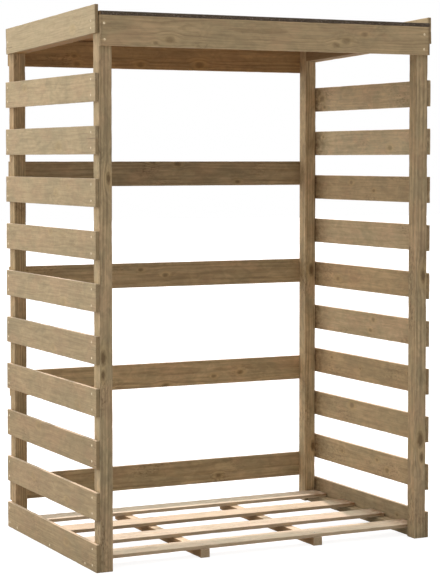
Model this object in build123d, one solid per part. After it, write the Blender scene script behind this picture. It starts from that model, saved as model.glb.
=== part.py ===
from build123d import *
import math
import os

# Log store: an open softwood frame for stacking firewood.
# Four posts carry slatted side walls, spaced back rails and a nearly flat roof that falls to the rear.
# A loose-laid floor of slats on bearers stands between the posts.
#
# Millimetres, +Z up. The origin is on the ground at the middle of the plan.
# -Y is the open front, where the logs go in, and +X is the right-hand side seen from there.

# Frame
frame_width = 1220.0          # over the outer faces of the posts
frame_depth = 830.0           # over the front and back faces of the posts
post_width = 45.0             # a post's section, left to right
post_depth = 48.0             # a post's section, front to back

# Boards
board_width = 91.0            # side slats, back rails, bargeboards and floor slats
board_thickness = 13.0
wide_board_width = 97.0       # fascia and top back rail

# Side walls
slats_per_side = 10           # evenly spaced from the ground up
bargeboard_gap = 97.0         # from the top slat to the bargeboard, where the two are closest

# Back
back_rail_count = 4           # evenly spaced, and a top rail above them
lowest_back_rail = 92.5       # from the ground to the lowest rail
top_rail_gap = 336.5          # from the highest of the spaced rails to the top rail

# Roof
roof_underside = 1766.0       # ground to the top of the fascia
roof_pitch = 1.8              # degrees of fall towards the rear
roof_board_thickness = 11.0
felt_thickness = 1.5
roof_side_gap = 1.0           # between the roof and each bargeboard
rafter_depth = 57.0
bargeboard_upstand = 21.0     # above the felt
bargeboard_short = 4.0        # by which a bargeboard is shorter than the wall

# Floor
floor_slat_count = 4
bearer_width = 34.0
bearer_height = 29.0
middle_bearer_offset = 213.0  # from the middle of the store to the middle of an inner bearer
floor_end_gap = 2.0           # between the ends of the floor slats and the side walls
floor_post_gap = 5.0          # between the floor and the front and rear posts

# Planes that several pieces share
post_outer_x = frame_width / 2
post_inner_x = post_outer_x - post_width
post_front_y = -frame_depth / 2
post_back_y = frame_depth / 2
roof_front_y = post_front_y - board_thickness
roof_back_y = post_back_y + board_thickness
roof_slope = math.tan(math.radians(roof_pitch))

SIDES = {"left": -1, "right": 1}

pieces = {}


def block(x_span, y_span, z_span):
    """A rectangular piece between two planes on each axis."""
    spans = [sorted(span) for span in (x_span, y_span, z_span)]
    size = [high - low for low, high in spans]
    centre = [(low + high) / 2 for low, high in spans]
    return Pos(*centre) * Box(*size)


def extruded_side_profile(points, x_span):
    """A piece whose outline is drawn as (y, z) points and runs straight across from x to x."""
    low, high = sorted(x_span)
    outline = Polyline(*[(low, y, z) for y, z in points], close=True)
    return extrude(make_face(outline), amount=high - low, dir=(1, 0, 0))


def underside_at(y):
    """Height of the roof's underside, which falls from the fascia to the rear."""
    return roof_underside - (y - roof_front_y) * roof_slope


def above_underside(y, thickness):
    """The (y, z) point plumb over y on a plane that lies the given thickness above the underside."""
    return (y, underside_at(y) + thickness / math.cos(math.radians(roof_pitch)))


def bargeboard_outline():
    """The corners of a bargeboard, square-cut and parallel to the roof, from the front top round."""
    angle = math.radians(roof_pitch)
    length = frame_depth - bargeboard_short
    rise = roof_board_thickness + felt_thickness + bargeboard_upstand
    start_y, start_z = above_underside(post_front_y, rise)

    def corner(along, down):
        y = start_y + along * math.cos(angle) - down * math.sin(angle)
        z = start_z - along * math.sin(angle) - down * math.cos(angle)
        return (y, z)

    return [corner(0, 0), corner(length, 0), corner(length, board_width), corner(0, board_width)]


def board_under_roof(front, back):
    """The outline of an upright wide board whose top edge is planed to the roof's fall."""
    bottom = underside_at(back) - wide_board_width
    return [(front, bottom), (back, bottom), (back, underside_at(back)), (front, underside_at(front))]


def make_posts():
    rows = {
        "front": (post_front_y, post_front_y + post_depth),
        "rear": (post_back_y - post_depth, post_back_y),
    }
    for row, (front, back) in rows.items():
        for side, sign in SIDES.items():
            outline = [(front, 0), (back, 0), (back, underside_at(back)), (front, underside_at(front))]
            x_span = (sign * post_inner_x, sign * post_outer_x)
            pieces[f"{row}_{side}_post"] = extruded_side_profile(outline, x_span)


def make_side_slats():
    bargeboard_bottom = min(z for y, z in bargeboard_outline())
    top_slat = bargeboard_bottom - bargeboard_gap - board_width
    pitch = top_slat / (slats_per_side - 1)
    for side, sign in SIDES.items():
        x_span = (sign * post_outer_x, sign * (post_outer_x + board_thickness))
        for number in range(slats_per_side):
            z_span = (number * pitch, number * pitch + board_width)
            pieces[f"{side}_slat_{number + 1:02d}"] = block(x_span, (post_front_y, post_back_y), z_span)


def make_back_rails():
    x_span = (-post_outer_x, post_outer_x)
    top_rail = board_under_roof(post_back_y, roof_back_y)
    pieces["top_back_rail"] = extruded_side_profile(top_rail, x_span)
    highest = min(z for y, z in top_rail) - top_rail_gap - board_width
    pitch = (highest - lowest_back_rail) / (back_rail_count - 1)
    for number in range(back_rail_count):
        bottom = lowest_back_rail + number * pitch
        z_span = (bottom, bottom + board_width)
        pieces[f"back_rail_{number + 1}"] = block(x_span, (post_back_y, roof_back_y), z_span)


def make_fascia():
    outline = board_under_roof(roof_front_y, post_front_y)
    pieces["fascia_board"] = extruded_side_profile(outline, (-post_outer_x, post_outer_x))


def make_rafters():
    front = post_front_y + post_depth
    back = post_back_y - post_depth
    outline = [
        (front, underside_at(front) - rafter_depth),
        (back, underside_at(back) - rafter_depth),
        (back, underside_at(back)),
        (front, underside_at(front)),
    ]
    for side, sign in SIDES.items():
        across = (sign * post_inner_x, sign * post_outer_x)
        pieces[f"{side}_rafter"] = extruded_side_profile(outline, across)


def make_roof():
    half_width = post_outer_x - roof_side_gap
    x_span = (-half_width, half_width)
    board_front = roof_front_y + felt_thickness
    board_back = roof_back_y - felt_thickness
    board_outline = [
        (board_front, underside_at(board_front)),
        (board_back, underside_at(board_back)),
        above_underside(board_back, roof_board_thickness),
        above_underside(board_front, roof_board_thickness),
    ]
    pieces["roof_board"] = extruded_side_profile(board_outline, x_span)
    covering = roof_board_thickness + felt_thickness
    felt_outline = [
        (roof_front_y, underside_at(roof_front_y)),
        (board_front, underside_at(board_front)),
        above_underside(board_front, roof_board_thickness),
        above_underside(board_back, roof_board_thickness),
        (board_back, underside_at(board_back)),
        (roof_back_y, underside_at(roof_back_y)),
        above_underside(roof_back_y, covering),
        above_underside(roof_front_y, covering),
    ]
    pieces["roof_felt"] = extruded_side_profile(felt_outline, x_span)


def make_bargeboards():
    for side, sign in SIDES.items():
        x_span = (sign * post_outer_x, sign * (post_outer_x + board_thickness))
        pieces[f"{side}_bargeboard"] = extruded_side_profile(bargeboard_outline(), x_span)


def make_floor():
    front = post_front_y + post_depth + floor_post_gap
    back = post_back_y - post_depth - floor_post_gap
    half_length = post_outer_x - floor_end_gap
    pitch = (back - front - board_width) / (floor_slat_count - 1)
    for number in range(floor_slat_count):
        slat_front = front + number * pitch
        y_span = (slat_front, slat_front + board_width)
        z_span = (bearer_height, bearer_height + board_thickness)
        pieces[f"floor_slat_{number + 1}"] = block((-half_length, half_length), y_span, z_span)
    for side, sign in SIDES.items():
        outer_span = (sign * (post_outer_x - bearer_width), sign * post_outer_x)
        pieces[f"{side}_outer_bearer"] = block(outer_span, (front, back), (0, bearer_height))
        middle = sign * middle_bearer_offset
        inner_span = (middle - bearer_width / 2, middle + bearer_width / 2)
        pieces[f"{side}_inner_bearer"] = block(inner_span, (front, back), (0, bearer_height))


make_posts()
make_side_slats()
make_back_rails()
make_fascia()
make_rafters()
make_roof()
make_bargeboards()
make_floor()

os.makedirs("parts", exist_ok=True)
for name, piece in pieces.items():
    piece.label = name
    export_step(piece, f"parts/{name}.step")
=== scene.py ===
import math
import random
from itertools import product

import bpy
from mathutils import Matrix, Vector, noise


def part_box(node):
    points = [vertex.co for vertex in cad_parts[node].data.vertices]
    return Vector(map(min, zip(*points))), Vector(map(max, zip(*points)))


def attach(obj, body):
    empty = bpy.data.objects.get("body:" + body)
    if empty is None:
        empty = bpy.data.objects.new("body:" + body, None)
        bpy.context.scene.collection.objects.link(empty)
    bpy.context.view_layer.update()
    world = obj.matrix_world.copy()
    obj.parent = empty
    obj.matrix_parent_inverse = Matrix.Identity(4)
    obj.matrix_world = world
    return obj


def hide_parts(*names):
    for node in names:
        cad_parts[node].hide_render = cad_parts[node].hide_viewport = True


# Log store: the finish of every board, the fixings and the roofing felt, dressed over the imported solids.
# Metres, +Z up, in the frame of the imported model. The open front faces -Y.

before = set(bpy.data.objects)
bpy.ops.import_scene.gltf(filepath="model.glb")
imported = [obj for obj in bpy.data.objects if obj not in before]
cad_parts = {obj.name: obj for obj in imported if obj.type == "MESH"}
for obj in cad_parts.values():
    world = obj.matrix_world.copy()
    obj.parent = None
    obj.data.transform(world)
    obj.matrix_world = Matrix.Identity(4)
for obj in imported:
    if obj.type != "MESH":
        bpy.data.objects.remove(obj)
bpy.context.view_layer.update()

# ---------------- sizes, in metres

ARRIS_RADIUS = 0.0020         # rounding of a planed board's long edges
FACE_INSET = 0.0003           # planed faces lie this far inside the nominal size
FACE_PLAY = 0.0003            # unevenness of a planed face
FACE_WAVES = 9.0              # waves of it to a metre, roughly
KNOCK_DEPTH = 0.0012          # deepest dent along an edge
KNOCK_REACH = 2.5 * ARRIS_RADIUS   # how far in from the edge a dent runs
KNOCKS = 38.0                 # dents to a metre, roughly
LENGTH_STEP = 0.022           # spacing of the mesh along a board
WIDTH_STEP = 0.015            # and across it
HOLDING_STEP = 0.001          # keeps a face flat up to its rounded edge

FELT_THICKNESS = 0.0011       # a little under the solid's, because the waves dip
FELT_WAVES = 0.0006           # depth of its waves
FELT_BEND = 0.004             # radius of its turns at the front and the rear
FELT_TURN_STEPS = 4           # cuts of its mesh round each turn,
FELT_ROWS = 36                # from the front to the rear,
FELT_COLUMNS = 54             # and from left to right

SCREW_HEAD = 0.0038           # radius
RECESS_REACH = 0.0020         # of the cross recess, from the middle
RECESS_HALF_ARM = 0.0005      # half the width of its arms
RECESS_DEPTH = 0.0013
NAIL_HEAD = 0.0023            # radius
NAIL_RIM = 0.0001             # height of a nail's rim, under its slight dome
CLOUT_HEAD = 0.0042           # radius
PROUD = 0.00025               # by which a fixing's head stands off the planed face
HEAD_SKIRT = 0.0006           # how far a head's side runs down into the timber

SLAT_SCREW_FRONT = 0.036      # from the front end of a side slat or bargeboard
SLAT_SCREW_REAR = 0.020       # and from its rear end
BOARD_SCREW_EDGE = 0.020      # from the edges of a slat, a rail or the fascia
BEARER_SCREW_END = 0.045      # from the ends of an outer bearer
BEARER_SCREW_DROP = 0.002     # below the middle of its side
BARGEBOARD_SCREW_RISES = (0.019, 0.041)   # above its lower edge
RAIL_SCREW_END = 0.022        # from the ends of a back rail
RAIL_SCREW_DROP = 0.006       # how much further the upper screws keep off their edge
FASCIA_SCREW_LEFT = 0.0140    # from the left end of the fascia
FASCIA_SCREW_RIGHT = 0.0235   # and from its right end
FIXING_STRAY = 0.0015         # unevenness of hand-driven fixings
FIXING_LEAN = 0.012           # how far off square they are driven
FLOOR_NAIL_EDGE = 0.022       # from the edges of a floor slat
OUTER_NAIL_SHIFT = 0.002      # off the middle of an outer bearer, to the inside
CLOUT_SPACING = 0.15          # roughly
CLOUT_MARGIN = 0.022          # from the edges of the felt
CLOUT_SINK = 0.0003           # how far the felt gives under a nail

# ---------------- a bench for shader trees


def linear(red, green, blue):
    """A display colour, 0 to 255, as the linear colour that shaders work in."""
    def channel(value):
        value /= 255
        return value / 12.92 if value <= 0.04045 else ((value + 0.055) / 1.055) ** 2.4
    return (channel(red), channel(green), channel(blue), 1.0)


class Bench:
    """Adds nodes to one shader tree and wires them. Every value may be a number, a colour or a socket."""

    def __init__(self, tree):
        self.tree = tree

    def add(self, kind, **settings):
        node = self.tree.nodes.new(kind)
        for name, value in settings.items():
            setattr(node, name, value)
        return node

    def feed(self, socket, value):
        if isinstance(value, bpy.types.NodeSocket):
            self.tree.links.new(value, socket)
        else:
            socket.default_value = value

    def feed_all(self, sockets, values):
        """Feeds the sockets that have these names; underscores in a name stand for spaces."""
        for name, value in values.items():
            self.feed(sockets[name.replace("_", " ")], value)

    def maths(self, operation, *values, clamp=False):
        node = self.add("ShaderNodeMath", operation=operation, use_clamp=clamp)
        for socket, value in zip(node.inputs, values):
            self.feed(socket, value)
        return node.outputs[0]

    def times(self, first, second):
        return self.maths("MULTIPLY", first, second)

    def vector(self, operation, *values):
        node = self.add("ShaderNodeVectorMath", operation=operation)
        for socket, value in zip(node.inputs, values):
            self.feed(socket, value)
        return node.outputs["Value" if operation == "LENGTH" else "Vector"]

    def scaled(self, colour, amount):
        node = self.add("ShaderNodeVectorMath", operation="SCALE")
        self.feed_all(node.inputs, {"Vector": colour, "Scale": amount})
        return node.outputs[0]

    def split(self, vector):
        node = self.add("ShaderNodeSeparateXYZ")
        self.feed(node.inputs[0], vector)
        return node.outputs[0], node.outputs[1], node.outputs[2]

    def join(self, x, y, z):
        node = self.add("ShaderNodeCombineXYZ")
        self.feed_all(node.inputs, {"X": x, "Y": y, "Z": z})
        return node.outputs[0]

    def noise(self, at, scale=1.0, detail=2.0, rough=0.5, swirl=0.0):
        node = self.add("ShaderNodeTexNoise")
        self.feed_all(node.inputs, {"Vector": at, "Scale": scale, "Detail": detail, "Roughness": rough,
                                    "Distortion": swirl})
        return node.outputs["Fac"]

    def grain(self, at, fineness, detail=2.0, rough=0.5, shift=(0.0, 0.0, 0.0), swirl=0.0):
        """Noise drawn out along the log. The fineness is its scale along the log and across it."""
        along, across = fineness
        at = self.vector("MULTIPLY_ADD", at, (along, across, across), shift)
        return self.noise(at, 1.0, detail, rough, swirl)

    def fade(self, value, start, end, low=0.0, high=1.0):
        """Runs smoothly from low to high as the value goes from start to end."""
        node = self.add("ShaderNodeMapRange", interpolation_type="SMOOTHSTEP")
        self.feed_all(node.inputs, {"Value": value, "From Min": start, "From Max": end,
                                    "To Min": low, "To Max": high})
        return node.outputs["Result"]

    def mix(self, share, first, second):
        node = self.add("ShaderNodeMix", data_type="RGBA")
        self.feed(node.inputs["Factor"], share)
        self.feed(node.inputs[6], first)
        self.feed(node.inputs[7], second)
        return node.outputs[2]

    def overlaid(self, colour, share, strength, stain):
        """The colour with another colour laid over it, where the share says and as strong as the strength."""
        return self.mix(self.times(share, strength), colour, stain)

    def place(self, group, **values):
        """Puts a node group down and feeds it. Returns its outputs."""
        node = self.add("ShaderNodeGroup", node_tree=group)
        self.feed_all(node.inputs, values)
        return node.outputs

    def own(self, name, vector=False, mesh=False):
        """A value that the piece carries: on its mesh, or as a property of the object."""
        node = self.add("ShaderNodeAttribute", attribute_type="GEOMETRY" if mesh else "OBJECT",
                        attribute_name=name)
        return node.outputs["Vector" if vector else "Fac"]


BOARD = ("Board Point", "Half Size", "Log Point")
VECTORS = (*BOARD, "Knot", "Bend")


class Group(Bench):
    """A shader node group with named sockets: values come in through given and go out through deliver.
    The sockets whose names start as VECTORS lists are vectors, and the others are numbers."""

    def __init__(self, name, inputs, outputs):
        super().__init__(bpy.data.node_groups.new(name, "ShaderNodeTree"))
        for direction, sockets in (("INPUT", inputs), ("OUTPUT", outputs)):
            for socket in sockets:
                kind = "NodeSocketVector" if socket.startswith(VECTORS) else "NodeSocketFloat"
                self.tree.interface.new_socket(name=socket, in_out=direction, socket_type=kind)
        self.given = self.add("NodeGroupInput").outputs
        self.result = self.add("NodeGroupOutput").inputs

    def inward(self):
        """How far in from the ends, the edges and the faces of its board a point lies."""
        from_middle = self.vector("ABSOLUTE", self.given["Board Point"])
        return self.split(self.vector("SUBTRACT", self.given["Half Size"], from_middle))

    def deliver(self, **values):
        self.feed_all(self.result, values)
        return self.tree


# ---------------- effects that several finishes share

KNOTS_PER_BOARD = 5
LEAST_KNOT = 0.00002          # keeps the knots that a board doesn't have from dividing by nought

# How fine each pattern in the timber is: its scale along the log and across it.
LOG_BENDS = (2.4, 7.0)
SHAKES = (14.0, 60.0)
FIBRES = (9.0, 330.0)
PORES = (45.0, 1500.0)
BLOTCHES = (7.0, 12.0)
STREAKS = (5.0, 85.0)
CLOUDS = (19.0, 34.0)
DIRTY_PLACES = (5.0, 9.0)
SPECKS = (70.0, 160.0)
EDGE_WEAR = (30.0, 90.0)
SPLIT_THREADS = (0.9, 60.0)
SPLIT_LENGTHS = (2.0, 40.0)
END_SHADE_AND_DIRT = (40.0, 62.0)


def make_branch_knots():
    """Where a board's knots are: each is (along, across, radius) from the middle of the board.
    Stretch is how much longer than wide they are, and Bend is how far they push the grain aside."""
    sockets = [f"Knot {number}" for number in range(1, KNOTS_PER_BOARD + 1)]
    bench = Group("Branch Knots", ("Board Point", "Log Point", "Stretch", *sockets),
                  ("Core", "Rim", "Halo", "Swirl", "Bend"))
    shape = bench.join(bench.maths("DIVIDE", 1.0, bench.given["Stretch"]), 1.0, 0.0)
    here = bench.vector("MULTIPLY", bench.given["Board Point"], shape)
    nearest = None
    bend = (0.0, 0.0, 0.0)
    for socket in sockets:
        knot = bench.given[socket]
        radius = bench.maths("MAXIMUM", bench.split(knot)[2], LEAST_KNOT)
        offset = bench.vector("SUBTRACT", here, bench.vector("MULTIPLY", knot, shape))
        share = bench.maths("DIVIDE", bench.vector("LENGTH", offset), radius)
        nearest = share if nearest is None else bench.maths("MINIMUM", nearest, share)
        aside = bench.vector("MULTIPLY", offset, (0.0, 1.0, 0.0))
        bend = bench.vector("ADD", bench.scaled(aside, bench.fade(share, 4.6, 0.5, 0.0, 0.72)), bend)
    wobble = bench.noise(bench.given["Log Point"], 95.0)
    ragged = bench.maths("ADD", nearest, bench.maths("MULTIPLY_ADD", wobble, 0.7, -0.35))
    core = bench.fade(ragged, 1.15, 0.55)
    rim = bench.maths("SUBTRACT", bench.fade(ragged, 1.45, 1.05), core, clamp=True)
    return bench.deliver(Core=core, Rim=rim, Halo=bench.fade(ragged, 3.2, 0.8),
                         Swirl=bench.fade(nearest, 3.6, 0.8), Bend=bend)


def make_timber_figure():
    """Growth rings and fibres of a board sawn from a log whose pith runs along X."""
    bench = Group("Timber Figure", ("Log Point", "Ring Spacing", "Wander", "Swirl"),
                  ("Late Wood", "Fibre", "Height"))
    here = bench.given["Log Point"]
    _, across, through = bench.split(here)
    squares = bench.maths("ADD", bench.times(across, across), bench.times(through, through))
    radius = bench.maths("SQRT", squares)
    for pattern, strength in ((bench.grain(here, LOG_BENDS, 3.0, 0.45), bench.given["Wander"]),
                              (bench.grain(here, SHAKES), 0.0016),
                              (bench.given["Swirl"], 0.0035)):
        radius = bench.maths("MULTIPLY_ADD", pattern, strength, radius)
    count = bench.maths("DIVIDE", radius, bench.given["Ring Spacing"])
    season = bench.maths("FRACT", count)
    late = bench.times(bench.fade(season, 0.30, 0.86), bench.fade(season, 1.0, 0.91))
    year = bench.noise(bench.join(count, 0.0, 0.0), 0.42)
    late = bench.times(late, bench.fade(year, 0.30, 0.68, 0.25, 1.0))
    fibre = bench.grain(here, FIBRES, 3.0, 0.6)
    height = bench.maths("MULTIPLY_ADD", late, 0.35, bench.times(fibre, 0.7))
    height = bench.maths("MULTIPLY_ADD", bench.grain(here, PORES), 0.35, height)
    return bench.deliver(Late_Wood=late, Fibre=fibre, Height=height)


def make_timber_blotches():
    """Soft patches that pressure treatment and handling leave: greenish, pinkish and dirty."""
    bench = Group("Timber Blotches", ("Log Point",), ("Green", "Pink", "Grime", "Cloud", "Streak"))
    here = bench.given["Log Point"]
    green = bench.grain(here, BLOTCHES, 3.0, 0.6)
    pink = bench.grain(here, BLOTCHES, 3.0, 0.6, shift=(7.3, 1.1, 4.2))
    dirty = bench.grain(here, DIRTY_PLACES, 1.0, shift=(3.7, 5.9, 9.1))
    speck = bench.grain(here, SPECKS, 3.0, 0.65)
    return bench.deliver(
        Green=bench.fade(green, 0.42, 0.64),
        Pink=bench.fade(pink, 0.45, 0.66),
        Grime=bench.times(bench.fade(dirty, 0.55, 0.72), bench.fade(speck, 0.46, 0.66)),
        Cloud=bench.grain(here, CLOUDS, 3.0, 0.6, shift=(1.9, 8.3, 2.6), swirl=1.4),
        Streak=bench.grain(here, STREAKS, 3.0, 0.6, shift=(2.3, 6.1, 0.7)))


def make_board_edges():
    """The worn long edges of a board, its sawn ends and its narrow sides."""
    bench = Group("Board Edges", (*BOARD, "Reach"), ("Worn Arris", "Sawn End", "Narrow Side"))
    ends, edges, faces = bench.inward()
    # of the three distances, the one in the middle is the distance to the nearest arris
    least = bench.maths("MINIMUM", ends, bench.maths("MINIMUM", edges, faces))
    most = bench.maths("MAXIMUM", ends, bench.maths("MAXIMUM", edges, faces))
    total = bench.maths("ADD", ends, bench.maths("ADD", edges, faces))
    to_arris = bench.maths("SUBTRACT", total, bench.maths("ADD", least, most))
    patchy = bench.grain(bench.given["Log Point"], EDGE_WEAR, 3.0)
    reach = bench.times(bench.given["Reach"], bench.fade(patchy, 0.30, 0.75, 0.25, 1.6))
    worn = bench.maths("SUBTRACT", 1.0, bench.maths("DIVIDE", to_arris, reach), clamp=True)
    return bench.deliver(Worn_Arris=worn, Sawn_End=bench.fade(ends, 0.0009, 0.0004),
                         Narrow_Side=bench.fade(edges, 0.0016, 0.0008))


def make_end_splits():
    """Fine drying splits that run in from the ends of a board."""
    bench = Group("End Splits", BOARD, ("Split",))
    from_end = bench.inward()[0]
    thread = bench.grain(bench.given["Log Point"], SPLIT_THREADS, 0.0)
    length = bench.grain(bench.given["Log Point"], SPLIT_LENGTHS, 0.0)
    thin = bench.fade(bench.maths("ABSOLUTE", bench.maths("SUBTRACT", thread, 0.62)), 0.010, 0.003)
    reach = bench.fade(length, 0.35, 0.7, 0.01, 0.09)
    return bench.deliver(Split=bench.times(thin, bench.maths("LESS_THAN", from_end, reach)))


def make_soiled_ends():
    """Darkening near a board's ends, most of it at the rear or right end: painted shade that falls where the
    ends meet their neighbours, speckled, with some dirt in it.
    Face is 1 or -1 to keep it to the face on the positive or negative side, and 0 for the whole end."""
    bench = Group("End Shade And Dirt", (*BOARD, "Reach", "Face"), ("Soil",))
    along, _, through = bench.split(bench.given["Board Point"])
    near = bench.fade(bench.inward()[0], bench.given["Reach"], 0.0)
    near = bench.times(near, bench.fade(along, -0.01, 0.01, 0.5, 1.0))
    facing = bench.maths("GREATER_THAN", bench.times(through, bench.given["Face"]), -0.001)
    speck = bench.grain(bench.given["Log Point"], END_SHADE_AND_DIRT, 4.0, 0.6)
    soil = bench.times(near, bench.fade(speck, 0.34, 0.64, 0.42, 1.0))
    return bench.deliver(Soil=bench.times(soil, facing))


branch_knots = make_branch_knots()
timber_figure = make_timber_figure()
timber_blotches = make_timber_blotches()
board_edges = make_board_edges()
end_splits = make_end_splits()
soiled_ends = make_soiled_ends()

# ---------------- finishes

WEAR_REACH = 0.0036           # how far the worn edges run in, in metres
TIMBER_RELIEF = 0.0005        # depth of the grain, in metres
FELT_RELIEF = 0.0007          # and of the felt's granules
# painted highlight: the colour laid on a board's upper narrow side, where the sun falls on it
PAINTED_SUN_HIGHLIGHT = linear(250, 228, 196)
INSIDE_SPLIT = linear(48, 36, 24)


def new_material(name):
    material = bpy.data.materials.new(name)
    material.use_nodes = True
    return material, Bench(material.node_tree), material.node_tree.nodes["Principled BSDF"]


def rough_surface(bench, shader, height, depth, strength):
    bump = bench.add("ShaderNodeBump")
    bump.inputs["Strength"].default_value = strength
    bump.inputs["Distance"].default_value = depth
    bench.feed(bump.inputs["Height"], height)
    bench.feed(shader.inputs["Normal"], bump.outputs["Normal"])


def timber_finish(name, contrast, blotchy, **shades):
    """A softwood finish, from display colours. Each board brings its own tone, knots and place in the log.
    Contrast is how strongly the growth rings show, and blotchy how strongly the patches do."""
    shade = {part: linear(*colour) for part, colour in shades.items()}
    material, bench, shader = new_material(name)
    board_point = bench.own("board_point", vector=True, mesh=True)
    log_point = bench.own("log_point", vector=True, mesh=True)
    board = {"Board_Point": board_point, "Log_Point": log_point,
             "Half_Size": bench.own("half_size", vector=True)}
    knots = {f"Knot_{n}": bench.own(f"knot_{n}", vector=True) for n in range(1, KNOTS_PER_BOARD + 1)}
    knot_at = bench.place(branch_knots, Board_Point=board_point, Log_Point=log_point,
                          Stretch=bench.own("knot_stretch"), **knots)
    bent_point = bench.vector("SUBTRACT", log_point, knot_at["Bend"])
    figure = bench.place(timber_figure, Log_Point=bent_point, Ring_Spacing=bench.own("ring_spacing"),
                         Wander=bench.own("wander"), Swirl=knot_at["Swirl"])
    blotches = bench.place(timber_blotches, Log_Point=log_point)
    edges = bench.place(board_edges, Reach=WEAR_REACH, **board)
    split = bench.place(end_splits, **board)["Split"]
    soil_reach, soil_face = bench.own("soil_reach"), bench.own("soil_face")
    soil = bench.place(soiled_ends, Reach=soil_reach, Face=soil_face, **board)["Soil"]

    rings = bench.times(bench.own("figure"), contrast)
    patches = bench.times(bench.own("patches"), blotchy)
    colour = bench.overlaid(shade["early"], figure["Late Wood"], rings, shade["late"])
    colour = bench.overlaid(colour, blotches["Green"], patches, shade["green"])
    colour = bench.overlaid(colour, blotches["Pink"], patches, shade["pink"])
    colour = bench.scaled(colour, bench.fade(figure["Fibre"], 0.28, 0.72, 0.91, 1.08))
    cloud = bench.fade(blotches["Cloud"], 0.32, 0.68, -1.0, 1.0)
    colour = bench.scaled(colour, bench.maths("MULTIPLY_ADD", cloud, bench.own("cloudy"), 1.0))
    colour = bench.scaled(colour, bench.fade(blotches["Streak"], 0.30, 0.68, bench.own("streaks"), 1.06))
    depth = bench.own("knot_depth")
    upward = bench.maths("GREATER_THAN", bench.split(board_point)[1], 0.0)
    # Of these layers, the narrow-side one is painted shade and the upper narrow-side one is a painted
    # highlight of the sun; the others are the timber's own marks.
    for share, strength, stain in (
            (blotches["Grime"], bench.own("grime"), shade["knot"]),
            (knot_at["Halo"], bench.own("knot_glow"), shade["glow"]),
            (knot_at["Rim"], bench.times(depth, 0.5), shade["knot"]),
            (knot_at["Core"], depth, shade["knot"]),
            (edges["Narrow Side"], bench.own("side_stain"), shade["side"]),
            (bench.times(edges["Narrow Side"], upward), bench.own("bleach"), PAINTED_SUN_HIGHLIGHT),
            (edges["Worn Arris"], bench.own("wear"), shade["bare"])):
        colour = bench.overlaid(colour, share, strength, stain)
    colour = bench.vector("MULTIPLY", colour, bench.own("tone", vector=True))
    colour = bench.overlaid(colour, edges["Sawn End"], 0.65, shade["end"])
    # painted shade at the ends, with some dirt
    colour = bench.overlaid(colour, soil, bench.own("soil"), shade["knot"])
    colour = bench.overlaid(colour, split, 0.45, INSIDE_SPLIT)
    bench.feed(shader.inputs["Base Color"], colour)
    rough = bench.fade(figure["Fibre"], 0.25, 0.75, 0.86, 0.70)
    bench.feed(shader.inputs["Roughness"], bench.maths("MULTIPLY_ADD", knot_at["Core"], -0.16, rough))
    shader.inputs["Specular IOR Level"].default_value = 0.32
    height = bench.maths("MULTIPLY_ADD", split, -1.5, figure["Height"])
    height = bench.maths("MULTIPLY_ADD", knot_at["Core"], 0.5, height)
    rough_surface(bench, shader, height, TIMBER_RELIEF, 0.55)
    return material


def felt_finish():
    """Mineral roofing felt: slate granules pressed into bitumen, browned by weather."""
    material, bench, shader = new_material("mineral_felt")
    here = bench.add("ShaderNodeTexCoord").outputs["Object"]
    grit = bench.add("ShaderNodeTexVoronoi", feature="F1")
    bench.feed_all(grit.inputs, {"Vector": here, "Scale": 620.0})
    grain_shade = bench.split(grit.outputs["Color"])[0]
    clump = bench.noise(here, 9.0, 4.0, 0.6)
    scuff = bench.grain(here, (6.0, 22.0), 3.0)
    colour = bench.mix(bench.fade(grain_shade, 0.15, 0.95), linear(70, 60, 49), linear(116, 101, 84))
    colour = bench.mix(bench.maths("GREATER_THAN", grain_shade, 0.93), colour, linear(158, 146, 134))
    colour = bench.scaled(colour, bench.fade(clump, 0.3, 0.7, 0.86, 1.12))
    colour = bench.mix(bench.fade(scuff, 0.56, 0.76, 0.0, 0.30), colour, linear(106, 90, 72))
    bench.feed(shader.inputs["Base Color"], colour)
    bench.feed(shader.inputs["Roughness"], bench.fade(grain_shade, 0.0, 1.0, 0.78, 0.95))
    shader.inputs["Specular IOR Level"].default_value = 0.25
    height = bench.maths("SUBTRACT", 1.0, grit.outputs["Distance"])
    rough_surface(bench, shader, height, FELT_RELIEF, 0.8)
    return material


def plated_steel(name, bright, dull, rough):
    """Zinc-plated fixings, dulled in patches."""
    material, bench, shader = new_material(name)
    here = bench.add("ShaderNodeTexCoord").outputs["Object"]
    patch = bench.noise(here, 340.0, 3.0, 0.6)
    fixing = bench.noise(here, 23.0, 1.0)
    colour = bench.mix(bench.fade(patch, 0.38, 0.66), linear(*bright), linear(*dull))
    bench.feed(shader.inputs["Base Color"], bench.scaled(colour, bench.fade(fixing, 0.3, 0.7, 0.86, 1.05)))
    bench.feed(shader.inputs["Roughness"], bench.fade(patch, 0.3, 0.7, rough, rough + 0.18))
    shader.inputs["Metallic"].default_value = 0.75
    return material


# Each side colour is painted shade, laid over the narrow sides of the boards that carry it.
treated = timber_finish(
    "treated_timber", contrast=0.55, blotchy=0.55,
    early=(198, 174, 134), late=(136, 108, 72), green=(172, 155, 119), pink=(200, 168, 130),
    knot=(94, 70, 40), glow=(214, 184, 130), end=(158, 134, 97), bare=(216, 194, 158), side=(132, 98, 44))
planed = timber_finish(
    "floor_timber", contrast=0.55, blotchy=0.40,
    early=(238, 223, 196), late=(212, 188, 152), green=(220, 210, 180), pink=(242, 216, 188),
    knot=(150, 112, 76), glow=(232, 206, 164), end=(176, 148, 108), bare=(240, 224, 196),
    side=(176, 146, 108))
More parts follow.
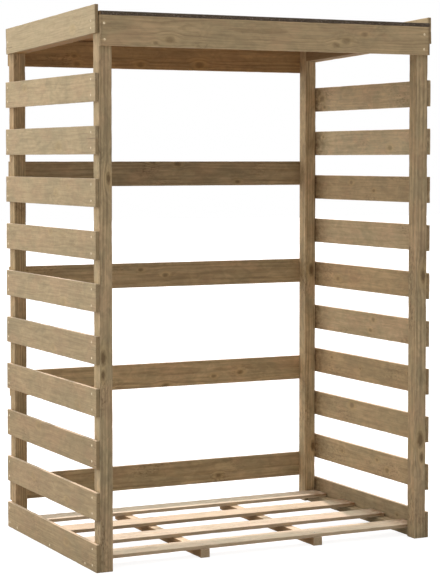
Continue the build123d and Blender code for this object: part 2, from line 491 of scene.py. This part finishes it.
# The roof board's end colour is painted shade: its ends show only in the narrow gap beside the bargeboards.
sheathing = timber_finish(
    "roof_sheathing", contrast=0.70, blotchy=0.45,
    early=(150, 110, 66), late=(118, 82, 44), green=(128, 98, 58), pink=(152, 108, 62),
    knot=(78, 54, 30), glow=(160, 118, 70), end=(66, 52, 38), bare=(158, 126, 86), side=(120, 92, 58))
felt = felt_finish()
zinc = plated_steel("zinc_screws", (240, 224, 190), (208, 190, 154), 0.36)
nail_steel = plated_steel("galvanised_nails", (206, 204, 198), (160, 158, 152), 0.42)

# ---------------- boards

X, Y, Z = 0, 1, 2


def put(data):
    """A new object in the scene, named as its mesh, lamp or camera is."""
    thing = bpy.data.objects.new(data.name, data)
    bpy.context.scene.collection.objects.link(thing)
    return thing


def skin(name, verts, faces, material, crease=None):
    """A smoothly shaded mesh. Folds sharper than the crease, in degrees, stay sharp."""
    mesh = bpy.data.meshes.new(name)
    mesh.from_pydata(verts, [], faces)
    mesh.shade_smooth()
    if crease:
        mesh.set_sharp_from_angle(angle=math.radians(crease))
    mesh.materials.append(material)
    return mesh


def nodes_named(words):
    """The CAD nodes whose names hold these words."""
    return sorted(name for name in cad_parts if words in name)


def cad_corners(node):
    """The eight corners of a CAD board, keyed by left or right, front or back, low or high."""
    points = {tuple(round(c, 6) for c in v.co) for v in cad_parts[node].data.vertices}
    low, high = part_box(node)
    middle = (low + high) / 2
    corners = {}
    for right, back in product((0, 1), repeat=2):
        column = [p for p in points if (p[X] > middle.x) == bool(right) and (p[Y] > middle.y) == bool(back)]
        column.sort(key=lambda p: p[Z])
        corners[right, back, 0] = Vector(column[0])
        corners[right, back, 1] = Vector(column[-1])
    return corners


def stations(length, step):
    """Where a board's mesh is cut on one axis: close together at its rounded edges, evenly between them."""
    edge = [0.0, ARRIS_RADIUS / 2, ARRIS_RADIUS]
    inner = ARRIS_RADIUS + HOLDING_STEP
    flat = length - 2 * inner
    if flat < HOLDING_STEP:
        middle = [length / 2]
    else:
        gaps = max(1, round(flat / step))
        middle = [inner + flat * i / gaps for i in range(gaps + 1)]
    return edge + middle + [length - cut for cut in reversed(edge)]


def rounded(point, size):
    """Where a point on a block's surface comes to lie once the edges are rounded, and its way outward."""
    core = Vector(min(max(p, ARRIS_RADIUS), s - ARRIS_RADIUS) for p, s in zip(point, size))
    out = point - core
    return core + out * (ARRIS_RADIUS / out.length), out.normalized()


def unevenness(point, size, seed):
    """How far a planed surface falls short of its nominal place, for slight waves and knocked edges."""
    gaps = sorted(min(p, s - p) for p, s in zip(point, size))
    wave = noise.noise(Vector(point) * FACE_WAVES + seed) * 0.5 + 0.5
    near_edge = max(0.0, 1 - gaps[1] / KNOCK_REACH)
    knock = max(0.0, noise.noise(Vector(point) * KNOCKS - seed) - 0.12) * 2.2
    return FACE_INSET + FACE_PLAY * wave + KNOCK_DEPTH * near_edge * min(knock, 1.0)


def block_faces(index, last):
    """The four-sided faces of a block's six sides, between the points that index numbers."""
    faces = []
    for axis in (X, Y, Z):
        first, second = [other for other in (X, Y, Z) if other != axis]
        for end in (0, last[axis]):
            for i, j in product(range(last[first]), range(last[second])):
                ring = []
                for di, dj in ((0, 0), (1, 0), (1, 1), (0, 1)):
                    key = [0, 0, 0]
                    key[axis], key[first], key[second] = end, i + di, j + dj
                    ring.append(index[tuple(key)])
                outward = (end != 0) == (axis != Y)
                faces.append(ring if outward else ring[::-1])
    return faces


def board_mesh(node, material, length_axis, face_axis, seed, from_pith):
    """A detailed board in the place of a CAD node, and half its size. The mesh has rounded edges and a slight
    waviness, and it carries each point's place in the board and in the log: along, across and through."""
    corners = cad_corners(node)
    origin = corners[0, 0, 0]
    size = Vector((corners[key] - origin).length for key in ((1, 0, 0), (0, 1, 0), (0, 0, 1)))
    axes = (length_axis, 3 - length_axis - face_axis, face_axis)
    cuts = [stations(size[axis], LENGTH_STEP if axis == length_axis else WIDTH_STEP) for axis in (X, Y, Z)]
    last = [len(cut) - 1 for cut in cuts]
    half = [size[axis] / 2 for axis in axes]
    wave_seed = Vector((seed * 7.13, seed * 3.71, seed * 5.39))
    index, verts, local = {}, [], []
    for key in product(*(range(len(cut)) for cut in cuts)):
        inside = not any(k in (0, end) for k, end in zip(key, last))
        if inside:
            continue
        on_block = Vector(cuts[axis][key[axis]] for axis in (X, Y, Z))
        surface, outward = rounded(on_block, size)
        surface -= outward * unevenness(on_block, size, wave_seed)
        share = [surface[axis] / size[axis] for axis in (X, Y, Z)]
        place = Vector()
        for corner, at in corners.items():
            place += at * math.prod(s if side else 1 - s for side, s in zip(corner, share))
        index[key] = len(verts)
        verts.append(place)
        local.append([surface[axis] - middle for axis, middle in zip(axes, half)])
    mesh = skin(f"{node}_timber", verts, block_faces(index, last), material)
    for attribute, shift in (("board_point", (0, 0, 0)), ("log_point", (seed * 2.37, *from_pith))):
        values = [c + s for point in local for c, s in zip(point, shift)]
        mesh.attributes.new(attribute, "FLOAT_VECTOR", "POINT").data.foreach_set("vector", values)
    mesh.update()
    return mesh, half


# Knots that show, as (along, across, radius) from the middle of a board, in metres.
# Along runs to the right, to the rear or up, and across runs up, to the right or to the rear.
KNOTS = {
    "fascia_board": ((-0.37, -0.024, 0.009), (-0.42, -0.036, 0.005), (0.35, 0.014, 0.007),
                     (0.28, -0.010, 0.009), (0.24, -0.024, 0.008)),
    "top_back_rail": ((-0.36, -0.006, 0.006), (-0.35, -0.035, 0.007), (-0.10, -0.032, 0.008),
                      (0.14, -0.027, 0.010)),
    "back_rail_4": ((0.05, 0.036, 0.008), (-0.05, 0.044, 0.007), (0.30, -0.032, 0.006)),
    "back_rail_3": ((-0.10, 0.020, 0.006), (0.00, -0.002, 0.007)),
    "back_rail_2": ((0.00, -0.040, 0.008), (0.20, -0.015, 0.006), (0.31, -0.006, 0.007)),
    "back_rail_1": ((-0.28, 0.012, 0.006), (0.22, -0.020, 0.007)),
    "left_slat_09": ((-0.10, -0.020, 0.009),),
    "left_slat_08": ((-0.07, -0.003, 0.006), (-0.18, 0.018, 0.004)),
    "left_slat_07": ((-0.02, 0.032, 0.006),),
    "left_slat_05": ((-0.04, -0.026, 0.007),),
    "left_slat_04": ((-0.26, -0.020, 0.007),),
    "left_slat_03": ((0.10, 0.028, 0.008),),
    "left_slat_02": ((0.15, 0.008, 0.007), (-0.16, -0.018, 0.007)),
    "right_slat_10": ((0.32, 0.002, 0.009), (0.30, -0.030, 0.006), (0.34, 0.026, 0.006)),
    "right_slat_09": ((0.31, 0.024, 0.005), (-0.17, -0.020, 0.008)),
    "right_slat_08": ((-0.06, -0.008, 0.005), (0.10, 0.020, 0.006)),
    "right_slat_05": ((-0.04, -0.018, 0.006), (-0.06, 0.022, 0.007)),
    "right_slat_04": ((0.24, 0.022, 0.004), (0.03, 0.000, 0.004), (-0.30, 0.016, 0.005)),
    "right_slat_03": ((0.09, 0.024, 0.009),),
    "right_slat_02": ((-0.09, 0.012, 0.005), (-0.16, -0.016, 0.007), (0.16, 0.010, 0.005)),
    "front_left_post": ((-0.197, -0.010, 0.009), (-0.252, -0.010, 0.006), (0.37, 0.010, 0.007)),
    "front_right_post": ((0.03, 0.008, 0.009), (-0.54, 0.000, 0.011), (-0.60, 0.006, 0.007)),
    "rear_right_post": ((0.02, 0.004, 0.009), (-0.66, 0.012, 0.008)),
}
FAR_OFF_KNOT = (9.0, 9.0, 0.0)    # makes up the number on a board with fewer knots


def wild_knots(rng, half, count):
    """Knots on a board whose knots aren't listed."""
    knots = []
    for _ in range(count):
        along = rng.uniform(-0.88, 0.88) * half[0]
        across = rng.uniform(-0.8, 0.8) * half[1]
        knots.append((along, across, rng.uniform(0.0035, 0.0085)))
    return knots


# How light a board is, and how warm: browner above nought, and greener below it. Some entries are painted
# light and shade, as marked.
TONES = {
    "left_bargeboard": (0.89, -2.1),
    "right_bargeboard": (1.30, -1.0),
    "fascia_board": (0.96, 0.6),
    # painted shade: darkened and warmed for the roof's shade and the brown light under the roof
    "top_back_rail": (0.69, 8.5),
    "back_rail_1": (0.91, -0.5),
    "back_rail_2": (1.05, 0.9),
    "back_rail_3": (0.95, 0.6),
    "back_rail_4": (0.84, -0.6),
    "rear_left_post": (0.90, 1.6),
    "front_left_post": (0.99, -0.1),
    "front_right_post": (0.99, -0.2),
    "left_slat_01": (0.74, 1.2),
    "left_slat_03": (0.67, 1.5),
    "right_slat_01": (0.80, -1.2),
    "right_slat_03": (0.97, 0.4),
    "right_slat_04": (0.89, 1.8),
    "right_slat_05": (1.06, -0.7),
    "right_slat_06": (0.965, 1.9),
    "right_slat_07": (1.08, -1.1),
    "right_slat_08": (0.915, 1.0),
    # painted light: the two top slats of the right wall are lightened for the light that reaches them under
    # the roof
    "right_slat_09": (1.36, -3.0),
    "right_slat_10": (1.30, -2.6),
    # painted light: floor_slat_1, the front one, is lightened for the light on the floor
    "floor_slat_1": (1.08, 0.3),
    "floor_slat_2": (0.96, -0.2),
    "floor_slat_3": (0.91, 1.4),
    # painted light: floor_slat_4, the rearmost, is lightened for the light that reaches the rear of the floor
    "floor_slat_4": (1.18, -1.0),
}


def tone_of(node, rng, light, warm):
    """A board's tint, as listed or near a usual one: how light it is in red, green and blue. Some listed
    tints are painted light and shade.
    """
    light, warm = TONES.get(node, (light * rng.uniform(0.97, 1.03), warm + rng.uniform(-0.5, 0.5)))
    return [light * (1 + 0.018 * warm), light * (1 - 0.004 * warm), light * (1 - 0.03 * warm)]


# What a board's finish reads from its piece, unless dress_board is told otherwise.
USUAL_LOOKS = {
    "figure": 0.6,           # strength of the growth rings
    "wander": 0.03,          # how far the rings stray, in metres
    "knot_depth": 0.4,       # darkness of the knots
    "knot_stretch": 1.6,     # their length over their width
    "knot_glow": 0.35,       # strength of the pale grain round them
    "streaks": 0.92,         # brightness of the darkest lengthwise streak
    "cloudy": 0.06,          # depth of the soft light and dark patches
    "patches": 1.0,          # strength of the greenish and pinkish patches
    "grime": 0.3,            # strength of the dirty patches
    "wear": 0.42,            # paleness of the worn edges
    "soil": 0.0,             # strength of the darkening at the ends: painted shade, with some dirt
    "soil_reach": 0.1,       # how far that darkening runs in, in metres
    "soil_face": 0,          # the face that has it: 1 or -1 on an axis, 0 for both
    "side_stain": 0.0,       # strength of the painted shade on its narrow sides
    "bleach": 0.0,           # strength of the painted highlight on its upper narrow side, where the sun falls
}


def dress_board(node, material, slot, length_axis, face_axis, spacing, pith, **looks):
    """Replaces a CAD board with its detailed piece. The spacing is that of its growth rings, and the pith
    is how far off the log's heart lies."""
    rng = random.Random(f"timber {node}")
    slant = looks.pop("slant", rng.uniform(-0.5, 0.5))
    light, warm = looks.pop("light", 1.0), looks.pop("warm", 0.0)
    from_pith = (slant * pith, rng.choice((-1, 1)) * rng.uniform(0.7, 1.3) * pith)
    seed = rng.uniform(1, 40)
    mesh, half = board_mesh(node, material, length_axis, face_axis, seed, from_pith)
    piece = put(mesh)
    knots = list(KNOTS.get(node) or wild_knots(rng, half, rng.choice((0, 1, 1, 2))))
    knots += [FAR_OFF_KNOT] * (KNOTS_PER_BOARD - len(knots))
    for number, knot in enumerate(knots, start=1):
        piece[f"knot_{number}"] = list(knot)
    piece["half_size"] = half
    piece["tone"] = tone_of(node, rng, light, warm)
    piece["ring_spacing"] = spacing * rng.uniform(0.85, 1.2)
    for look, usual in USUAL_LOOKS.items():
        piece[look] = looks.get(look, usual)
    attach(piece, "root")
    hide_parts(node)


def dress_frame():
    for node in nodes_named("_post"):
        dress_board(node, treated, "treated_timber", Z, Y, spacing=0.0075, pith=0.11, slant=0.9, figure=1.5,
                    wander=0.014, knot_depth=0.8, knot_stretch=2.4, streaks=0.78, cloudy=0.13, grime=0.6)
    for number, node in enumerate(nodes_named("left_slat"), start=1):
        # painted light and shade: this wall is painted darker than the right one, warmest at the bottom and
        # palest at the top, where the light falls most strongly
        dress_board(node, treated, "treated_timber", Y, X, spacing=0.0055, pith=0.045, figure=0.42,
                    knot_depth=0.22, streaks=0.93, grime=0.25, cloudy=0.075, bleach=0.7,
                    light=0.675 + 0.0165 * number, warm=1.7 - 0.28 * number)
    # painted shade: the inner faces darken within 0.19 m of their ends, most at the rear end beside the rear
    # post, for the post's shade; the pale upper sides are painted highlight
    for node in nodes_named("right_slat"):
        dress_board(node, treated, "treated_timber", Y, X, spacing=0.0065, pith=0.045, figure=0.5,
                    knot_depth=0.5, streaks=0.90, grime=0.4, cloudy=0.085, bleach=0.6, soil=0.95,
                    soil_reach=0.19, soil_face=-1, light=0.99)
    # painted shade on the bargeboards' narrow sides and at their ends
    for node in nodes_named("bargeboard"):
        dress_board(node, treated, "treated_timber", Y, X, spacing=0.005, pith=0.06, figure=0.35,
                    knot_depth=0.15, streaks=0.95, grime=0.1, cloudy=0.04, patches=0.3, side_stain=0.7,
                    soil=0.7, soil_reach=0.012)
    # painted shade: the right rafter is painted far darker and warmer than the left one for the shade under
    # the roof, and the left one's narrow sides carry painted shade below the bargeboard
    for node, light, warm, stain in (("left_rafter", 0.98, 4.0, 0.9), ("right_rafter", 0.43, 8.0, 0.0)):
        dress_board(node, treated, "treated_timber", Y, X, spacing=0.0055, pith=0.05, patches=0.5,
                    side_stain=stain, light=light, warm=warm)
    for node in nodes_named("back_rail"):
        top = node == "top_back_rail"
        dress_board(node, treated, "treated_timber", X, Y, spacing=0.0085, pith=0.035, figure=1.0,
                    wander=0.026, knot_depth=0.5 if top else 0.65, knot_glow=0.45 if top else 0.3,
                    streaks=0.82, grime=0.5, cloudy=0.10, patches=0.5 if top else 1.0)
    # painted shade at the fascia's ends, most at its right end, with some dirt
    dress_board("fascia_board", treated, "treated_timber", X, Y, spacing=0.006, pith=0.045, figure=0.7,
                knot_depth=0.42, knot_glow=0.15, streaks=0.88, cloudy=0.065, wear=0.75, soil=0.9,
                soil_reach=0.012)
    dress_board("roof_board", sheathing, "roof_sheet", X, Z, spacing=0.008, pith=0.08, figure=0.9)


def dress_floor():
    # painted shade: the outer bearers are darker and greyer for the shade that the walls and slats cast on
    # them
    for node in nodes_named("outer_bearer"):
        dress_board(node, treated, "treated_timber", Y, Z, spacing=0.006, pith=0.04, figure=0.8,
                    light=0.86, warm=-2.0)
    # painted shade on the narrow sides of the inner bearers
    for node in nodes_named("inner_bearer"):
        dress_board(node, planed, "treated_timber", Y, Z, spacing=0.006, pith=0.04, figure=0.8,
                    side_stain=1.0, soil=0.35, soil_reach=0.004, light=1.05, warm=2.5)
    # painted shade on the slats' front and rear narrow sides, and at their ends, most at the right end by the
    # wall; the rearmost slat's reaches further, for the shade of the rear post
    for node in nodes_named("floor_slat"):
        rearmost = node == "floor_slat_4"
        dress_board(node, planed, "floor_timber", X, Z, spacing=0.006, pith=0.05, figure=0.5, knot_depth=0.3,
                    side_stain=0.65, soil=1.0, soil_reach=0.17 if rearmost else 0.11, soil_face=1)


# ---------------- roofing felt


def felt_line(low, high):
    """The sheet's outer line as (y, z), from its front lip over the roof to the rear one, and its fall."""
    points = [(round(v.co.y, 5), round(v.co.z, 5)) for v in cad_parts["roof_felt"].data.vertices]
    front = [z for y, z in points if abs(y - low.y) < 1e-4]
    back = [z for y, z in points if abs(y - high.y) < 1e-4]
    front_top, back_top = max(front), max(back)
    front_low, back_low = min(front), min(back)
    fall = math.atan2(front_top - back_top, high.y - low.y)
    flat = high.y - low.y - 2 * FELT_BEND
    turns = [math.pi / 2 * i / FELT_TURN_STEPS for i in range(FELT_TURN_STEPS + 1)]
    line = [(low.y, front_low), (low.y, (front_low + front_top) / 2), (low.y, front_top - FELT_BEND)]
    for turn in turns[1:]:
        line.append((low.y + FELT_BEND * (1 - math.cos(turn)), front_top - FELT_BEND * (1 - math.sin(turn))))
    for i in range(1, FELT_ROWS):
        run = FELT_BEND + flat * (i / FELT_ROWS)
        line.append((low.y + run, front_top - math.tan(fall) * run))
    for turn in turns[:-1]:
        line.append((high.y - FELT_BEND * (1 - math.sin(turn)), back_top - FELT_BEND * (1 - math.cos(turn))))
    line += [(high.y, back_top - FELT_BEND), (high.y, (back_low + back_top) / 2), (high.y, back_low)]
    return line, fall


def dress_felt():
    """One sheet of felt laid over the roof and turned down at the front and the rear, slightly wavy."""
    low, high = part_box("roof_felt")
    line, fall = felt_line(low, high)
    verts, faces = [], []
    for column in range(FELT_COLUMNS + 1):
        x = low.x + (high.x - low.x) * column / FELT_COLUMNS
        for number, (y, z) in enumerate(line):
            before, after = line[max(0, number - 1)], line[min(len(line) - 1, number + 1)]
            tangent = Vector((0, after[0] - before[0], after[1] - before[1])).normalized()
            normal = Vector((0, -tangent.z, tangent.y))
            lift = noise.noise(Vector((x * 6, y * 6, 4.2))) * 0.5 + 0.5
            outer = Vector((x, y, z)) - normal * FELT_WAVES * lift
            verts += [outer, outer - normal * FELT_THICKNESS]
    # each row of points holds an outer and an inner one for every place on the line
    row = 2 * len(line)
    for column in range(FELT_COLUMNS):
        for a in range(column * row, (column + 1) * row - 2, 2):
            b = a + row
            faces += [(a, b, b + 2, a + 2), (a + 1, a + 3, b + 3, b + 1)]
        a, b = column * row, (column + 1) * row
        faces.append((a, a + 1, b + 1, b))
        a, b = a + row - 2, b + row - 2
        faces.append((a, b, b + 1, a + 1))
    for a in range(0, row - 2, 2):
        b = FELT_COLUMNS * row + a
        faces += [(a, a + 2, a + 3, a + 1), (b, b + 1, b + 3, b + 2)]
    piece = put(skin("roof_felt_sheet", verts, faces, felt, crease=50))
    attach(piece, "root")
    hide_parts("roof_felt")
    return fall


# ---------------- fixings


def head_bands(levels, sides):
    """Rings of points, each at a (radius, height), with bands of faces between them."""
    verts, faces = [], []
    for radius, height in levels:
        for i in range(sides):
            angle = math.tau * i / sides
            verts.append((radius * math.cos(angle), radius * math.sin(angle), height))
    for level in range(len(levels) - 1):
        for i in range(sides):
            a, b = level * sides + i, level * sides + (i + 1) % sides
            faces.append((a, b, b + sides, a + sides))
    return verts, faces


def cross_head():
    """A countersunk screw head with a cross recess, seen from +Z, its rim at zero height."""
    sides = 24
    levels = ((SCREW_HEAD, -HEAD_SKIRT), (SCREW_HEAD, 0.0), (SCREW_HEAD * 0.93, PROUD))
    verts, faces = head_bands(levels, sides)
    rim, start = 2 * sides, 3 * sides
    # the cross, one quarter at a time: the tip of an arm, then the inner corner after it
    arm, half_arm = RECESS_REACH, RECESS_HALF_ARM
    outline = []
    for quarter in range(4):
        turn = Matrix.Rotation(quarter * math.pi / 2, 2)
        for point in ((arm, -half_arm), (arm, half_arm), (half_arm * 1.15, half_arm * 1.15)):
            outline.append(turn @ Vector(point))
    for height, shrink in ((PROUD, 1.0), (PROUD - RECESS_DEPTH, 0.55)):
        verts += [(p.x * shrink, p.y * shrink, height) for p in outline]
    count = len(outline)
    for i in range(count):
        a, b = start + i, start + (i + 1) % count
        faces.append((a, b, b + count, a + count))
    faces.append(tuple(start + count + i for i in range(count)))
    # the flat of the head, between the rim and the cross
    nearest = []
    for i in range(sides):
        middle = math.tau * (i + 0.5) / sides
        apart = [abs(math.remainder(middle - math.atan2(p.y, p.x), math.tau)) for p in outline]
        nearest.append(apart.index(min(apart)))
        faces.append((rim + i, rim + (i + 1) % sides, start + nearest[i]))
    for i in range(sides):
        here, there = nearest[i], nearest[(i + 1) % sides]
        while here != there:
            ahead = (here + 1) % count
            faces.append((rim + (i + 1) % sides, start + ahead, start + here))
            here = ahead
    return verts, faces


def flat_head(radius):
    """A flat nail head, slightly domed, seen from +Z."""
    sides = 14
    verts, faces = head_bands(((radius, -HEAD_SKIRT), (radius, NAIL_RIM), (radius * 0.82, PROUD)), sides)
    faces.append(tuple(range(2 * sides, 3 * sides)))
    return verts, faces


def fixings(name, head, places, material):
    """One joined mesh of heads. Each place is (point on the face, outward direction)."""
    rng = random.Random(name)

    def any_way():
        return Vector((rng.uniform(-1, 1), rng.uniform(-1, 1), rng.uniform(-1, 1)))

    head_verts, head_faces = head
    verts, faces = [], []
    for point, outward in places:
        lean = outward + any_way() * FIXING_LEAN
        stray = any_way() * FIXING_STRAY
        point = Vector(point) + stray - outward * stray.dot(outward)
        turn = lean.to_track_quat("Z", "Y").to_matrix() @ Matrix.Rotation(rng.uniform(0, math.tau), 3, "Z")
        first = len(verts)
        verts += [point + turn @ Vector(v) for v in head_verts]
        faces += [tuple(first + i for i in face) for face in head_faces]
    piece = put(skin(name, verts, faces, material, crease=35))
    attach(piece, "root")


def sunk(coordinate, outward):
    """A face's plane as the planed board has it, just inside the nominal one."""
    return coordinate - math.copysign(FACE_INSET + PROUD * 0.4, outward)


def wall_screw_places():
    """Two screws at each end of every side slat and bargeboard, and three from the lowest slat into the
    bearer behind it."""
    places = []
    for right, side in enumerate(("left", "right")):
        sign = 1 if right else -1
        outward = Vector((sign, 0, 0))
        for node in nodes_named(f"{side}_slat_"):
            low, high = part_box(node)
            x = sunk(high.x if right else low.x, sign)
            for y in (low.y + SLAT_SCREW_FRONT, high.y - SLAT_SCREW_REAR):
                for z in (low.z + BOARD_SCREW_EDGE, high.z - BOARD_SCREW_EDGE):
                    places.append(((x, y, z), outward))
        low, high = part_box(f"{side}_outer_bearer")
        middle = (low + high) / 2
        reach = (high.y - low.y) / 2 - BEARER_SCREW_END
        for y in (middle.y - reach, middle.y, middle.y + reach):
            places.append(((x, y, middle.z - BEARER_SCREW_DROP), outward))
        corners = cad_corners(f"{side}_bargeboard")
        for end, inward in ((0, SLAT_SCREW_FRONT), (1, -SLAT_SCREW_REAR)):
            foot = corners[right, end, 0]
            for rise in BARGEBOARD_SCREW_RISES:
                places.append(((x, foot.y + inward, foot.z + rise), outward))
    return places


def crossing_screw_places():
    """Screws through the fascia into the front posts, and through the back rails into the rear posts."""
    places = []
    for node in ["fascia_board"] + nodes_named("back_rail"):
        low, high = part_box(node)
        if node == "fascia_board":
            y, sign, left, right = low.y, -1, FASCIA_SCREW_LEFT, FASCIA_SCREW_RIGHT
        else:
            y, sign, left, right = high.y, 1, RAIL_SCREW_END, RAIL_SCREW_END
        for x in (low.x + left, high.x - right):
            for z in (low.z + BOARD_SCREW_EDGE, high.z - BOARD_SCREW_EDGE - RAIL_SCREW_DROP):
                places.append(((x, sunk(y, sign), z), Vector((0, sign, 0))))
    return places


def floor_nail_places():
    """Two nails where each floor slat crosses a bearer."""
    places = []
    for bearer in nodes_named("bearer"):
        low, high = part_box(bearer)
        x = (low.x + high.x) / 2
        if "outer" in bearer:
            x -= math.copysign(OUTER_NAIL_SHIFT, x)
        for slat in nodes_named("floor_slat"):
            slat_low, slat_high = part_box(slat)
            for y in (slat_low.y + FLOOR_NAIL_EDGE, slat_high.y - FLOOR_NAIL_EDGE):
                places.append(((x, y, sunk(slat_high.z, 1)), Vector((0, 0, 1))))
    return places


def clout_places(fall):
    """Broad-headed nails round the edge of the felt."""
    low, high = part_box("roof_felt")
    left, right = low.x + CLOUT_MARGIN, high.x - CLOUT_MARGIN
    front, rear = low.y + CLOUT_MARGIN, high.y - CLOUT_MARGIN
    across = round((high.x - low.x) / CLOUT_SPACING)
    deep = round((high.y - low.y) / CLOUT_SPACING)
    places = [(left + (right - left) * i / across, y) for i in range(across + 1) for y in (front, rear)]
    places += [(x, front + (rear - front) * i / deep) for i in range(1, deep) for x in (left, right)]
    outward = Vector((0, math.sin(fall), math.cos(fall)))
    return [((x, y, high.z - math.tan(fall) * (y - low.y) - CLOUT_SINK), outward) for x, y in places]


def fit_fixings(fall):
    fixings("wall_screws", cross_head(), wall_screw_places(), zinc)
    fixings("fascia_and_rail_screws", cross_head(), crossing_screw_places(), zinc)
    fixings("floor_nails", flat_head(NAIL_HEAD), floor_nail_places(), nail_steel)
    fixings("felt_nails", flat_head(CLOUT_HEAD), clout_places(fall), nail_steel)


# ---------------- studio

WHITE = (1.0, 1.0, 1.0, 1.0)
LEFT_LIGHT = 0.34             # strength of the soft light from the left,
REAR_LIGHT = 1.15             # from behind,
OVERHEAD_LIGHT = 0.96         # and from above
FLOOR_SHADE = 0.42            # how light the floor is for the light that it throws back
FLOOR_GLOW = 0.86             # how bright it is, beyond that light, where it is looked at
FLOOR_REACH = 30.0            # metres from the middle to its edges


def camera():
    eye = bpy.data.cameras.new("studio_camera")
    eye.lens = 112.6
    eye.sensor_width = 36.0
    eye.shift_x = 0.0022
    eye.shift_y = -0.0743
    stand = put(eye)
    stand.location = (-2.801, -5.696, 1.314)
    stand.rotation_euler = (math.pi / 2 - 0.0484, 0.0, -0.4591)
    bpy.context.scene.camera = stand


def lamp(name, kind, energy, colour, location, target, **settings):
    light = bpy.data.lights.new(name, kind)
    light.energy = energy
    light.color = colour
    for setting, value in settings.items():
        setattr(light, setting, value)
    holder = put(light)
    holder.location = location
    holder.rotation_euler = (Vector(target) - holder.location).to_track_quat("-Z", "Y").to_euler()


def lamps():
    lamp("high_rear_light", "SUN", 2.3, (1.0, 0.84, 0.82), location=(0.62, 3.335, 3.895),
         target=(0.0, 0.0, 0.17), angle=math.radians(2))
    lamp("left_softbox", "AREA", 16.0, (1.0, 1.0, 1.0), location=(-2.8, 0.4, 1.9),
         target=(-0.6, 0.0, 1.6), shape="RECTANGLE", size=1.4, size_y=1.4)


def seen_directly(bench):
    """One where a camera, mirror or glass ray looks, and nought for light that falls on the object."""
    path = bench.add("ShaderNodeLightPath")
    either = bench.maths("MAXIMUM", path.outputs["Is Camera Ray"], path.outputs["Is Glossy Ray"])
    return bench.maths("MAXIMUM", either, path.outputs["Is Transmission Ray"])


def white_surroundings():
    world = bpy.data.worlds.new("white_studio")
    world.use_nodes = True
    bpy.context.scene.world = world
    bench = Bench(world.node_tree)
    shader = world.node_tree.nodes["Background"]
    right, back, up = bench.split(bench.add("ShaderNodeTexCoord").outputs["Generated"])
    left = bench.times(right, -1.0)
    soft = 0.0
    for direction, strength in ((left, LEFT_LIGHT), (back, REAR_LIGHT), (up, OVERHEAD_LIGHT)):
        soft = bench.maths("MULTIPLY_ADD", bench.maths("MAXIMUM", direction, 0.0), strength, soft)
    seen = seen_directly(bench)
    shader.inputs["Color"].default_value = WHITE
    soft = bench.times(soft, bench.maths("SUBTRACT", 1.0, seen))
    bench.feed(shader.inputs["Strength"], bench.maths("ADD", seen, soft))


def pale_floor():
    material, bench, shader = new_material("pale_floor")
    shader.inputs["Base Color"].default_value = (FLOOR_SHADE, FLOOR_SHADE, FLOOR_SHADE, 1.0)
    shader.inputs["Roughness"].default_value = 1.0
    shader.inputs["Specular IOR Level"].default_value = 0.0
    shader.inputs["Emission Color"].default_value = WHITE
    bench.feed(shader.inputs["Emission Strength"], bench.times(seen_directly(bench), FLOOR_GLOW))
    corners = [(x * FLOOR_REACH, y * FLOOR_REACH, 0) for x, y in ((-1, -1), (1, -1), (1, 1), (-1, 1))]
    floor = put(skin("studio_floor", corners, [(0, 1, 2, 3)], material))


dress_frame()
dress_floor()
roof_fall = dress_felt()
fit_fixings(roof_fall)

camera()
white_surroundings()
pale_floor()
lamps()

view = bpy.context.scene.view_settings
view.view_transform = "Standard"
